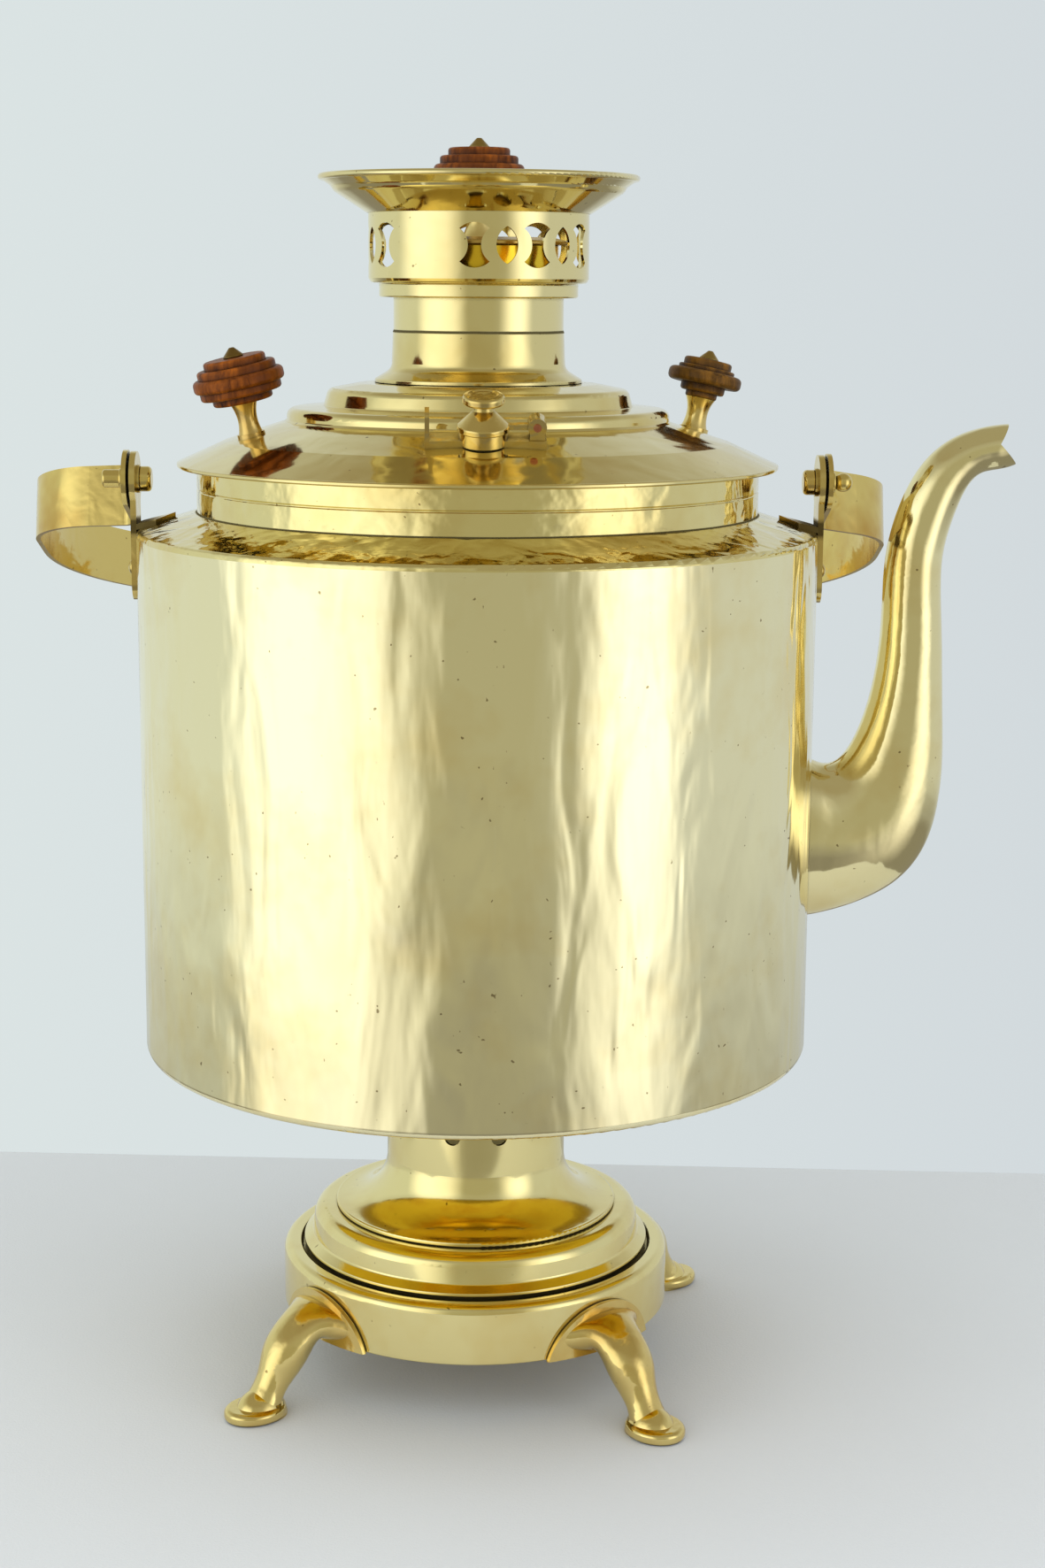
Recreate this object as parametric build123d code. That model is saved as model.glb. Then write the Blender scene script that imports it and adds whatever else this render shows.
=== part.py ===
from build123d import *
import os
from math import cos, pi, radians, sin, sqrt

# Charcoal samovar kettle in polished brass. Millimetres, +Z up, +X towards the spout, -Y towards
# the steam vent. The origin is on the table, under the axis of the body.

os.makedirs("parts", exist_ok=True)

# ---- Driving sizes: sheet and clearances ----
body_sheet = 1.2            # thickness of the body, shoulder, neck and bottom
base_sheet = 1.6            # thickness of the plinth and mouldings
lid_sheet = 1.2             # thickness of the lid
crown_sheet = 1.0           # thickness of the crown's rings and of the lid's collar
lift_gap = 0.4              # radial gap between pieces that lift apart
turn_gap = 0.05             # radial gap of a pin in the hole it turns in
side_play = 0.1             # gap beside a piece that turns on a bolt

# ---- Driving sizes: base, from the table up ----
plinth_clearance = 24.5     # table to the underside of the plinth
plinth_radius = 77.0
plinth_height = 23.2
plinth_rounding = 3.2
groove_width = 1.4          # gap between the moulding's lip and the plinth's top edge
groove_depth = 2.0
lip_radius = 68.9           # lowest ring of the moulding
lip_height = 3.0
moulding_radius = 64.5
moulding_height = 15.5      # plinth top to the underside of the flare
flare_radius = 55.9
flare_edge = 2.0            # thickness of the flare's rim
flare_height = 20.8
stem_radius = 35.4          # neck of the base
collar_height = 47.0        # air collar between the flare and the body
air_hole_count = 12
air_hole_radius = 3.2
air_hole_rise = 16.0        # flare top to the centres of the air holes
air_hole_turn = 15.0        # degrees from the spout's side to the first air hole
ring_seat = 8.0             # width of the seat that one base ring gives the next
grate_ledge_width = 4.0     # ledge inside the air collar, under the grate
grate_ledge_thick = 1.2

# ---- Driving sizes: feet ----
foot_azimuth = 39.0         # first foot, measured from the front towards the spout
foot_reach = 108.0          # body axis to the middle of a foot's pad
foot_pad_length = 25.0
foot_pad_width = 21.0
foot_pad_height = 10.5      # table to the top of the instep
foot_rim_height = 4.8       # thickness of the toe's rim
foot_shin_width = 15.0
foot_knee_width = 20.0
foot_knee_reach = 11.5      # plinth's side to the middle of the knee
foot_apron_width = 50.0
foot_apron_height = 19.0    # plinth's lower edge to the top of the apron
foot_apron_thick = 2.4

# ---- Driving sizes: body ----
body_radius = 130.0
body_height = 202.0
body_corner = 3.0           # rounding of the lower edge
floor_lip = 8.0             # width of the wall's turned-in lower edge
edge_rounding = 2.0         # rounding of the upper edge
shoulder_rise = 7.3
shoulder_width = 23.0       # wall to the neck
neck_height = 17.7
fire_tube_foot_radius = 34.0
fire_tube_radius = 30.0
fire_tube_taper_height = 190.0
fire_tube_sheet = 1.2
fire_tube_above_seam = 32.0 # seam between crown and lid to the tube's mouth
grate_thick = 3.0
grate_slot = 5.0
grate_bar = 4.0

# ---- Driving sizes: spout ----
spout_wall = 1.2
spout_root_rise = 80.5      # body's underside to the middle of the spout's root
spout_root_height = 59.0
spout_root_width = 40.0
spout_stand = 38.2          # body wall to the riser's axis
spout_riser_radius = 11.3
spout_bend_rise = 203.0     # body's underside to the start of the outward bend
spout_mouth_reach = 75.5    # body wall to the lower tip of the mouth
spout_mouth_rise = 236.3    # body's underside to the middle of the mouth
spout_mouth_radius = 7.6
spout_notch = 7.0           # depth of the notch in the mouth's sides
spout_flow_holes = 6        # around one in the middle
spout_flow_hole_radius = 3.0

# ---- Driving sizes: brackets and swing handle ----
bracket_thick = 2.2
bracket_ear_radius = 10.5
bracket_width = 14.0
bracket_tail = 27.5         # upper body edge to the tip of the tail
bracket_tab = 13.3          # length of the tab on the shoulder
bracket_tab_thick = 1.6
bracket_tab_turn = 32.0     # degrees from straight inward towards the front
rivet_drop = 15.0           # upper body edge to the rivet
rivet_radius = 2.0
rivet_head_radius = 2.9
rivet_end = 1.5             # rivet proud of the inside of the wall
pivot_rise = 18.8           # upper body edge to the handle's axis
bolt_radius = 2.5
bolt_collar_radius = 4.0
bolt_collar_length = 1.8
ball_radius = 3.6
button_radius = 3.5         # round end of the bolt on the side away from the spout
button_length = 6.4
spacer_radius = 4.2
spacer_thick = 1.0
washer_radius = 5.3
washer_thick = 1.0
nut_radius = 4.8
nut_length = 4.4
nut_rounding = 1.6
strap_width = 24.0
strap_thick = 1.8
strap_end_radius = 11.0
strap_arm = 27.0            # pivot to the sideways step of the strap
step_radius = 5.0
reach_left = 180.0          # body axis to the strap on the side away from the spout
reach_right = 168.0         # body axis to the strap on the spout's side
step_left = 42.0            # sideways step of the strap beyond its arm
step_right = 29.0
step_rise_left = 6.0        # run of the strap while it steps sideways
step_rise_right = 17.0
step_outer_radius = 28.0
handle_depth = 178.0        # pivot to the middle of the grip
bend_radius = 95.0
handle_drop = 18.0          # degrees below level when folded to the back

# ---- Driving sizes: lid ----
rim_drop = 0.8              # the lid's rim hangs this far below the neck's edge
lid_overhang = 7.3          # neck to the lid's edge
lid_edge = 1.6
rim_width = 18.0            # lid's edge to the foot of the cone
flange_rise = 9.8           # rim to the foot of the cone
cone_radius = 73.7
cone_rise = 7.4
low_tier_radius = 72.7
low_tier_rise = 5.0
high_tier_radius = 58.5
high_tier_rise = 8.8
tier_crease = 1.0           # fall of the low tier's top towards its edge
collar_foot_radius = 39.3
collar_foot_rise = 5.0
lid_collar_radius = 32.4
lid_collar_height = 14.0    # top of its foot to the seam under the crown
skirt_depth = 10.0
skirt_gap = 0.8             # lid's skirt to the inside of the neck
skirt_lip = 1.0             # thickness of the skirt's lip on the neck's edge
rim_roll = 2.4              # width of the lid's rolled rim

# ---- Driving sizes: knobs ----
knob_azimuth = 17.0         # line through both knobs, turned from the spout's line
knob_inset = 8.3            # foot of the cone to the middle of a knob's foot
knob_tilt = 12.5
knob_stem_height = 13.0
knob_stem_foot = 5.2
knob_stem_waist = 3.7
small_knob_stem = 1.12      # stem of the small-headed knob, against the other's
knob_rod_radius = 1.8
knob_rod_depth = 5.0        # end of the rod below the lid's upper face
finial_radius = 4.3
finial_height = 3.6
large_head = ((11.2, 2.8), (15.2, 3.0), (17.0, 5.0), (14.7, 3.0), (11.6, 2.9))
small_head = ((6.2, 2.2), (8.7, 3.0), (14.4, 5.2), (11.0, 1.6), (9.4, 3.0))

# ---- Driving sizes: steam vent ----
vent_azimuth = 1.2
vent_inset = 13.3           # foot of the cone to the vent's middle
vent_tilt = 15.0
vent_strip_width = 9.0
vent_strip_thick = 2.0
vent_tab_reach = 20.5       # vent axis to the upright tab
vent_tab_height = 12.0
vent_seat_radius = 8.6
vent_seat_height = 4.5
vent_bore_radius = 5.0
vent_cap_radius = 9.2
vent_cap_height = 7.5
vent_cap_neck = 3.2
vent_knob_radius = 7.4
vent_knob_height = 4.2
vent_hinge_reach = 18.8     # vent axis to the hinge pin
vent_hinge_rise = 6.6       # strip to the hinge pin
vent_knuckle_radius = 3.3
vent_knuckle_width = 3.2
vent_pin_radius = 1.4
vent_arm_thick = 1.8
vent_cheek_thick = 2.0
vent_plug = 2.0             # depth of the cap's plug in the seat's bore

# ---- Driving sizes: crown and chimney cap ----
sleeve_radius = 32.2
sleeve_height = 12.5
ring_radius = 37.6
ring_height = 5.0
gallery_radius = 41.6
gallery_step = 2.0          # rise of the ring between the collar and the gallery
gallery_height = 24.0
saucer_radius = 60.4
saucer_height = 13.0
saucer_bowl_radius = 54.5
saucer_bowl_rise = 7.8
saucer_bead = 1.2
hourglass_height = 16.2
hourglass_width = 11.0
hourglass_corner = 11.8     # height between its corners
hourglass_waist = 4.8
leaf_height = 13.5
leaf_width = 8.2
pierced_pitch = 16.6        # degrees between neighbouring piercings
pierced_centre = 31.0       # azimuth of the middle of the front group
pierced_groups = 3
cap_radius = 33.5
cap_sheet = 1.5
cap_skirt = 7.0
cap_boss = 1.2              # rise of the cap's raised middle
cap_stem_radius = 5.0
cap_stem_height = 17.3

# ---- Heights and radii that follow ----
neck_radius = body_radius - shoulder_width
lid_radius = neck_radius + lid_overhang
flange_radius = lid_radius - rim_width
knob_radius = flange_radius - knob_inset
vent_radius = flange_radius - vent_inset
plinth_top = plinth_clearance + plinth_height
flare_bottom = plinth_top + moulding_height
flare_top = flare_bottom + flare_height
body_bottom_z = flare_top + collar_height
body_top = body_bottom_z + body_height
neck_bottom = body_top + shoulder_rise
neck_top = neck_bottom + neck_height
rim_z = neck_top - rim_drop
cone_bottom = rim_z + flange_rise
cone_top = cone_bottom + cone_rise
low_tier_top = cone_top + low_tier_rise
shelf_z = low_tier_top + tier_crease + high_tier_rise
collar_foot_top = shelf_z + collar_foot_rise
seam_z = collar_foot_top + lid_collar_height
ring_z = seam_z + sleeve_height
gallery_z = ring_z + ring_height + gallery_step
saucer_z = gallery_z + gallery_height
tube_top = seam_z + fire_tube_above_seam
pivot_z = body_top + pivot_rise


# ---- Shapes used more than once ----
def turned(*corners):
    """A solid of revolution from the (radius, height, rounding) corners of its half section."""
    points = [(r, z) for r, z, _ in corners]
    outline = FilletPolyline(*points, radius=[corner[2] for corner in corners], close=True)
    return revolve(Plane.XZ * make_face(outline), Axis.Z)


def spun(*corners, shift):
    """Sheet spun to a line of (radius, height, rounding) corners, its thickness moved by shift."""
    points = [(r, z) for r, z, _ in corners]
    line = FilletPolyline(*points, radius=[corner[2] for corner in corners[1:-1]])
    back = Pos(*shift) * line
    ends = [Line(line @ 0, back @ 0), Line(line @ 1, back @ 1)]
    return revolve(Plane.XZ * make_face([*line.edges(), *back.edges(), *ends]), Axis.Z)


def pipe(outer, inner, low, high):
    """A plain round tube between two heights."""
    return turned((inner, low, 0), (outer, low, 0), (outer, high, 0), (inner, high, 0))


def rod(radius, low, high):
    """A plain round rod about the upright axis."""
    return Pos(0, 0, low) * Cylinder(radius, high - low, align=(Align.CENTER, Align.CENTER, Align.MIN))


def along_x(piece, x, y, z):
    """A piece turned about +Z laid along +X with its foot at the given place."""
    return Pos(x, y, z) * Rot(0, 90, 0) * piece


def facing(azimuth):
    """The turn that takes the front (-Y) to an azimuth measured towards the spout."""
    return Rot(0, 0, azimuth)


def save(piece, node):
    """One node is one file; a node of several equal pieces is a group of solids."""
    piece.label = node
    export_step(piece, f"parts/{node}.step")


# ---- Base ----
def make_plinth():
    """Ring with an in-turned top that the moulding stands on."""
    seat = moulding_radius - ring_seat
    return turned(
        (plinth_radius - base_sheet, plinth_clearance, 0),
        (plinth_radius, plinth_clearance, 0.6),
        (plinth_radius, plinth_top, plinth_rounding),
        (lip_radius + groove_width, plinth_top, 0.5),
        (lip_radius + 0.5 * groove_width, plinth_top - groove_depth, 0.4),
        (seat, plinth_top - groove_depth, 0),
        (seat, plinth_top - groove_depth - base_sheet, 0),
        (plinth_radius - base_sheet, plinth_top - groove_depth - base_sheet, 1.0),
    )


def make_moulding():
    """Half-round moulding with a thin lip, from the plinth up to the flare."""
    seat = plinth_top - groove_depth
    inner = moulding_radius - ring_seat
    return turned(
        (inner, seat, 0),
        (lip_radius - 3.0, seat, 0.5),
        (lip_radius - 1.5, plinth_top + 0.6, 0.5),
        (lip_radius, plinth_top + 0.8, 0.4),
        (lip_radius, plinth_top + 2.0, 0.5),
        (moulding_radius + 0.8, plinth_top + lip_height + 1.4, 1.2),
        (moulding_radius, flare_bottom - 0.5, 5.0),
        (flare_radius - 3.0, flare_bottom, 0),
        (inner - ring_seat, flare_bottom, 0),
        (inner - ring_seat, flare_bottom - base_sheet, 0),
        (inner, flare_bottom - base_sheet, 0),
    )


def make_flare():
    """Concave flare between the moulding and the air collar."""
    low = flare_bottom + flare_edge
    outer_rim, inner_rim = flare_radius - 1.5, flare_radius - 4.5
    inner_stem = stem_radius - base_sheet
    outer = EllipticalCenterArc((outer_rim, flare_top), outer_rim - stem_radius, flare_top - low, 180)
    inner = EllipticalCenterArc((inner_rim, flare_top), inner_rim - inner_stem, flare_height, 180)
    rim = FilletPolyline(
        outer @ 1, (flare_radius, low), (flare_radius, flare_bottom), inner @ 1,
        radius=[flare_edge * 0.35, flare_edge * 0.35],
    )
    top = Line(outer @ 0, inner @ 0)
    return revolve(Plane.XZ * make_face([outer, *rim.edges(), inner, top]), Axis.Z)


def make_air_collar():
    """Tube under the body with holes that feed air to the grate, and a ledge that carries it."""
    inner = stem_radius - base_sheet
    tube = pipe(stem_radius, inner, flare_top, body_bottom_z)
    tube += pipe(inner, inner - grate_ledge_width, body_bottom_z - grate_ledge_thick, body_bottom_z)
    hole = Pos(0, 0, flare_top + air_hole_rise) * Rot(90, 0, 0) * rod(air_hole_radius, 0, stem_radius + 5)
    for i in range(air_hole_count):
        tube -= Rot(0, 0, i * 360 / air_hole_count + air_hole_turn) * hole
    return tube


def make_grate():
    """Slotted cast disc that carries the charcoal at the foot of the fire tube."""
    radius = fire_tube_foot_radius - fire_tube_sheet - lift_gap
    disc = rod(radius, body_bottom_z, body_bottom_z + grate_thick)
    pitch = grate_slot + grate_bar
    count = int((radius - grate_bar) / pitch)
    for i in range(-count, count + 1):
        length = 2 * (sqrt(radius**2 - (abs(i) * pitch + grate_slot / 2) ** 2) - grate_bar)
        disc -= Pos(0, i * pitch, body_bottom_z + grate_thick / 2) * Box(length, grate_slot, 2 * grate_thick)
    return disc


# ---- Feet ----
def foot_section(reach, height, turn, thick, width):
    """An oval section of a foot, square to its run."""
    run = (cos(radians(turn)), 0, sin(radians(turn)))
    return Plane((reach, 0, height), x_dir=(0, 1, 0), z_dir=run) * Ellipse(width / 2, thick / 2)


def make_apron():
    """Arched plate on the plinth's side, with two pointed tips at the plinth's lower edge."""
    half, low = foot_apron_width / 2, plinth_clearance
    arch = make_face([
        ThreePointArc((-half, low), (0, low + foot_apron_height), (half, low)),
        Line((half, low), (-half, low)),
    ])
    plate = extrude(Plane.YZ * arch, plinth_radius + 2 * foot_apron_thick)
    plate &= pipe(plinth_radius + foot_apron_thick, plinth_radius, 0, plinth_top)
    front = plate.faces().filter_by(GeomType.CYLINDER).sort_by(SortBy.AREA)[-1]
    return fillet(front.edges().sort_by(Axis.Z)[-1], 0.4 * foot_apron_thick)


def make_leg():
    """Knee, shin and ankle of a foot, flared where it leaves the apron."""
    root, knee = plinth_radius, plinth_radius + foot_knee_reach
    low = plinth_clearance
    middle = low + 0.42 * foot_apron_height
    tall = 0.84 * foot_apron_height
    heel = foot_reach - 0.2 * foot_pad_length
    return loft([
        foot_section(root - 3.0, middle, 0, tall, 0.78 * foot_apron_width),
        foot_section(root + 2.0, middle, 0, 0.94 * tall, 0.66 * foot_apron_width),
        foot_section(root + 6.0, middle, -12, 0.86 * tall, 1.22 * foot_knee_width),
        foot_section(knee, low + 0.24 * foot_apron_height, -42, 0.74 * foot_knee_width, foot_knee_width),
        foot_section(heel - 5.0, 0.64 * low, -56, 0.96 * foot_shin_width, foot_shin_width),
        foot_section(heel - 1.5, 0.40 * low, -60, 0.82 * foot_shin_width, 0.90 * foot_shin_width),
        foot_section(heel + 0.8, 0.22 * low, -66, 0.92 * foot_shin_width, foot_shin_width),
    ])


def make_hoof():
    """Flat rounded toe with a raised instep, under the ankle."""
    half_length, half_width = foot_pad_length / 2, foot_pad_width / 2
    rim = extrude(Ellipse(half_length, half_width), foot_rim_height)
    rim = fillet(rim.edges(), 0.42 * foot_rim_height)
    instep = Pos(-0.10 * foot_pad_length, 0, 0) * scale(
        Sphere(1), by=(0.86 * half_length, 0.86 * half_width, foot_pad_height)
    )
    hoof = Pos(foot_reach, 0, 0) * (rim + instep)
    return hoof - Pos(foot_reach, 0, -foot_pad_length) * Box(*3 * [2 * foot_pad_length])


def make_foot():
    """A cast cabriole foot, along +X: apron, knee, shin and hoof."""
    foot = make_leg() + make_hoof() + make_apron()
    return foot - rod(plinth_radius, -1, plinth_top + foot_apron_height)


# ---- Body ----
def make_body_wall():
    """Cylinder with a turned-in lower edge."""
    inner = body_radius - body_sheet
    floor_edge = body_radius - floor_lip
    top = body_top - edge_rounding
    return turned(
        (floor_edge, body_bottom_z, 0),
        (body_radius, body_bottom_z, body_corner),
        (body_radius, top, 0),
        (inner, top, 0),
        (inner, body_bottom_z + body_sheet, body_corner - body_sheet),
        (floor_edge, body_bottom_z + body_sheet, 0),
    )


def make_body_bottom():
    """Flat ring between the wall's turned-in edge and the fire tube."""
    return pipe(body_radius - floor_lip, fire_tube_foot_radius, body_bottom_z, body_bottom_z + body_sheet)


def make_shoulder():
    """Low cone from the wall's upper edge to the neck."""
    inner = body_radius - body_sheet
    return turned(
        (body_radius, body_top - edge_rounding, 0),
        (body_radius, body_top, edge_rounding),
        (neck_radius, neck_bottom, 0),
        (neck_radius, neck_bottom - body_sheet, 0),
        (inner, body_top - 0.9 * body_sheet, 0.5 * edge_rounding),
        (inner, body_top - edge_rounding, 0),
    )


def make_neck_band():
    """Upright band with a slight crease, which the lid stands on."""
    low = neck_bottom - 2 * body_sheet
    inner = neck_radius - body_sheet
    crease = neck_bottom + 0.5 * neck_height
    return turned(
        (inner, low, 0),
        (neck_radius, low, 0),
        (neck_radius, crease - 0.6, 0.5),
        (neck_radius - 0.35 * body_sheet, crease, 0.5),
        (neck_radius, crease + 0.6, 0.5),
        (neck_radius, neck_top, 0.5),
        (inner, neck_top, 0),
    )


def make_fire_tube():
    """Tapered tube that holds the fire, from the grate up through the lid to the crown."""
    straight = body_bottom_z + fire_tube_taper_height
    return turned(
        (fire_tube_foot_radius, body_bottom_z, 0),
        (fire_tube_radius, straight, 0),
        (fire_tube_radius, tube_top, 0.5),
        (fire_tube_radius - fire_tube_sheet, tube_top, 0),
        (fire_tube_radius - fire_tube_sheet, straight, 0),
        (fire_tube_foot_radius - fire_tube_sheet, body_bottom_z, 0),
    )


# ---- Spout ----
def spout_sections(wall):
    """Oval sections of the spout, smaller than its outside by wall and longer by as much."""
    root = spout_root_rise
    tall, wide, riser = spout_root_height / 2, spout_root_width / 2, spout_riser_radius
    bend, mouth = spout_bend_rise, spout_mouth_rise
    stand, reach = spout_stand, spout_mouth_reach
    end = reach + 1.0 + wall
    rows = (
        # beyond the wall, above the underside, half height, half width
        (-10.0 - wall, root, tall, wide),
        (0.44 * stand, root + 0.23 * tall, tall, 0.92 * wide),
        (0.84 * stand, root + 0.86 * tall, 0.71 * tall, 0.79 * wide),
        (0.955 * stand, root + 1.70 * tall, 1.35 * riser, 1.24 * riser),
        (stand, 0.5 * (root + 1.70 * tall + bend), 1.04 * riser, 1.05 * riser),
        (1.01 * stand, bend - 9.0, 0.96 * riser, 0.98 * riser),
        (1.12 * stand, 0.77 * bend + 0.23 * mouth, 0.93 * riser, 0.93 * riser),
        (stand + 0.32 * (reach - stand), 0.34 * bend + 0.66 * mouth, 0.84 * riser, 0.88 * riser),
        (stand + 0.61 * (reach - stand), 0.10 * bend + 0.90 * mouth, 1.1 * spout_mouth_radius, 0.84 * riser),
        (end, mouth, 0.97 * spout_mouth_radius, 1.1 * spout_mouth_radius),
    )
    places = [Vector(body_radius + row[0], 0, body_bottom_z + row[1]) for row in rows]
    faces = []
    for i, (_, _, half_height, half_width) in enumerate(rows):
        before, after = places[max(i - 1, 0)], places[min(i + 1, len(rows) - 1)]
        run = Vector(1, 0, 0) if i == 0 else after - before
        place = Plane(places[i], x_dir=(0, 1, 0), z_dir=run)
        faces.append(place * Ellipse(half_width - wall, half_height - wall))
    return faces


def spout_mouth_cut():
    """Everything beyond the two tips of the mouth and the notch between them."""
    tip = body_radius + spout_mouth_reach
    middle = body_bottom_z + spout_mouth_rise
    far, high = tip + 40, 40
    cut = Polyline(
        (tip - 2.6, middle + high), (tip - 2.6, middle + spout_mouth_radius),
        (tip - spout_notch, middle), (tip, middle - spout_mouth_radius),
        (tip, middle - high), (far, middle - high), (far, middle + high), close=True,
    )
    return extrude(Plane.XZ * make_face(cut), 60, both=True)


def make_spout():
    """Swan-neck spout, wide at its root, with a notched mouth."""
    spout = loft(spout_sections(0)) - loft(spout_sections(spout_wall))
    spout -= rod(body_radius, 0, neck_top)
    return spout - spout_mouth_cut()


def pierce_wall(wall):
    """Flow holes behind the spout's root, and a hole for each bracket's rivet."""
    hole = Rot(0, 90, 0) * rod(spout_flow_hole_radius, body_radius - 20, body_radius + 5)
    middle = body_bottom_z + spout_root_rise
    wall -= Pos(0, 0, middle) * hole
    ring = 2.9 * spout_flow_hole_radius
    for i in range(spout_flow_holes):
        turn = 2 * pi * i / spout_flow_holes
        wall -= Pos(0, ring * cos(turn), middle + ring * sin(turn)) * hole
    rivet_hole = Rot(0, 90, 0) * rod(rivet_radius, -body_radius - 5, body_radius + 5)
    return wall - Pos(0, 0, body_top - rivet_drop) * rivet_hole


# ---- Brackets, bolts and swing handle ----
plate_x = body_radius                       # inner face of a bracket
spacer_x = plate_x + bracket_thick
strap_x = spacer_x + spacer_thick + side_play
bolt_collar_x = strap_x + strap_thick + side_play
washer_x = plate_x - washer_thick
nut_x = washer_x - nut_length


def shoulder_cone(raised, beyond):
    """The space under the shoulder's upper face, raised, and widened beyond the wall."""
    outer, low = body_radius + beyond, body_top - shoulder_rise
    return turned(
        (0, low, 0), (outer, low, 0), (outer, body_top + raised, 0),
        (neck_radius, neck_bottom + raised, 0), (0, neck_bottom + raised, 0),
    )


def make_bracket():
    """Upright plate with a round ear, a tail down the wall and a tab on the shoulder."""
    half = bracket_width / 2
    tip = body_top - bracket_tail + half
    outline = Pos(0, pivot_z) * Circle(bracket_ear_radius)
    outline += Pos(0, (tip + pivot_z) / 2) * Rectangle(bracket_width, pivot_z - tip)
    outline += Pos(0, tip) * Circle(half)
    plate = Pos(plate_x, 0, 0) * extrude(Plane.YZ * outline, bracket_thick)
    tab = Box(
        bracket_tab + bracket_thick, 2 * (half - 1), 2 * shoulder_rise,
        align=(Align.MAX, Align.CENTER, Align.MIN),
    )
    tab = Pos(plate_x, 0, body_top) * Rot(0, 0, bracket_tab_turn) * Pos(bracket_thick, 0, 0) * tab
    tab &= shoulder_cone(bracket_tab_thick, bracket_thick)
    plate += tab - shoulder_cone(0, 0)
    plate -= along_x(rod(bolt_radius, -1, bracket_thick + 1), plate_x, 0, pivot_z)
    rivet_z = body_top - rivet_drop
    return plate - along_x(rod(rivet_radius, -1, bracket_thick + 1), plate_x, 0, rivet_z)


def make_rivet():
    """Round-headed rivet through a bracket's tail and the body wall."""
    rivet_z = body_top - rivet_drop
    shank = along_x(rod(rivet_radius, -body_sheet - rivet_end, bracket_thick), plate_x, 0, rivet_z)
    ball = Sphere(rivet_head_radius) & Pos(rivet_head_radius, 0, 0) * Box(*3 * [2 * rivet_head_radius])
    return shank + Pos(plate_x + bracket_thick, 0, rivet_z) * scale(ball, by=(0.7, 1, 1))


def make_pivot_bolt(end):
    """Bolt that the handle turns on, with a collar and an end piece beyond it."""
    shaft = rod(bolt_radius, nut_x, bolt_collar_x)
    collar = turned(
        (0, bolt_collar_x, 0), (bolt_collar_radius, bolt_collar_x, 0.5),
        (bolt_collar_radius, bolt_collar_x + bolt_collar_length, 0.7),
        (0, bolt_collar_x + bolt_collar_length, 0),
    )
    return along_x(shaft + collar + Pos(0, 0, bolt_collar_x + bolt_collar_length) * end, 0, 0, pivot_z)


def bolt_ball():
    """Ball at the end of a bolt."""
    return Pos(0, 0, 0.85 * ball_radius) * Sphere(ball_radius)


def bolt_button():
    """Round button at the end of a bolt."""
    return turned((0, -0.5, 0), (button_radius, -0.5, 0), (button_radius, button_length, 1.0),
                  (0, button_length, 0))


def make_nut():
    """Round brass nut inside the bracket."""
    nut = turned(
        (bolt_radius, nut_x, 0), (nut_radius, nut_x, nut_rounding),
        (nut_radius, washer_x, 0.5), (bolt_radius, washer_x, 0),
    )
    return along_x(nut, 0, 0, pivot_z)


def strap_line():
    """Middle line of the handle's strap, from ear to ear, in the handle's own plane."""
    arm_x = strap_x + strap_thick / 2
    return FilletPolyline(
        (arm_x, -strap_end_radius),
        (arm_x, strap_arm),
        (arm_x + step_right, strap_arm + step_rise_right),
        (reach_right, handle_depth),
        (-reach_left, handle_depth),
        (-arm_x - step_left, strap_arm + step_rise_left),
        (-arm_x, strap_arm),
        (-arm_x, -strap_end_radius),
        radius=[step_radius, step_outer_radius, bend_radius, bend_radius, step_outer_radius, step_radius],
    )


def make_handle():
    """Flat strap bent round the body, with a rounded ear on each bolt."""
    band = make_face(offset(strap_line(), strap_thick / 2, side=Side.BOTH, kind=Kind.TANGENT))
    strap = extrude(band, strap_width / 2, both=True)
    half = strap_width / 2
    ear = strap_end_radius
    side = make_face(Polyline(
        (0, -ear), (strap_arm, -half), (2 * handle_depth, -half),
        (2 * handle_depth, half), (strap_arm, half), (0, ear), close=True,
    )) + Circle(ear)
    strap &= extrude(Plane.YZ * side, 2 * reach_left, both=True)
    strap -= Rot(0, 90, 0) * rod(bolt_radius + turn_gap, -2 * body_radius, 2 * body_radius)
    return Pos(0, 0, pivot_z) * Rot(-handle_drop, 0, 0) * strap


# ---- Lid ----
def cone_height(radius):
    """Height of the lid's cone at a radius."""
    return cone_bottom + cone_rise * (flange_radius - radius) / (flange_radius - cone_radius)


def lid_line():
    """Corners of the lid's upper surface, from the rim in to its collar."""
    top = low_tier_top + tier_crease
    return (
        (lid_radius, rim_z + lid_edge, 0),
        (flange_radius, cone_bottom, 1.5),
        (cone_radius, cone_top, 0.5),
        (low_tier_radius, cone_top + 0.8, 0.5),
        (low_tier_radius, low_tier_top, 3.2),
        (high_tier_radius + 0.3, top, 0.4),
        (high_tier_radius, top + 0.9, 0.4),
        (high_tier_radius - 1.5, shelf_z - 2.6, 3.0),
        (collar_foot_radius + 6.0, shelf_z - 0.4, 6.0),
        (lid_collar_radius - crown_sheet, shelf_z, 0),
    )


def lid_under(radius):
    """Height of the underside of the lid's flange at a radius."""
    slope = (cone_bottom - rim_z - lid_edge) / (lid_radius - flange_radius)
    return rim_z + lid_edge - lid_sheet + slope * (lid_radius - radius - 0.7 * lid_sheet)


def lid_block():
    """The space under the lid's upper surface, to fit what stands on it."""
    low = rim_z - 20
    return turned(*lid_line(), (0, shelf_z, 0), (0, low, 0), (lid_radius, low, 0))


def on_lid(angle, radius):
    """Place on the lid's cone, +X pointing outward."""
    return Rot(0, 0, angle) * Pos(radius, 0, cone_height(radius))


def knob_place(angle):
    """Place of a lid knob, leaning outward."""
    return on_lid(angle, knob_radius) * Rot(0, knob_tilt, 0)


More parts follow.
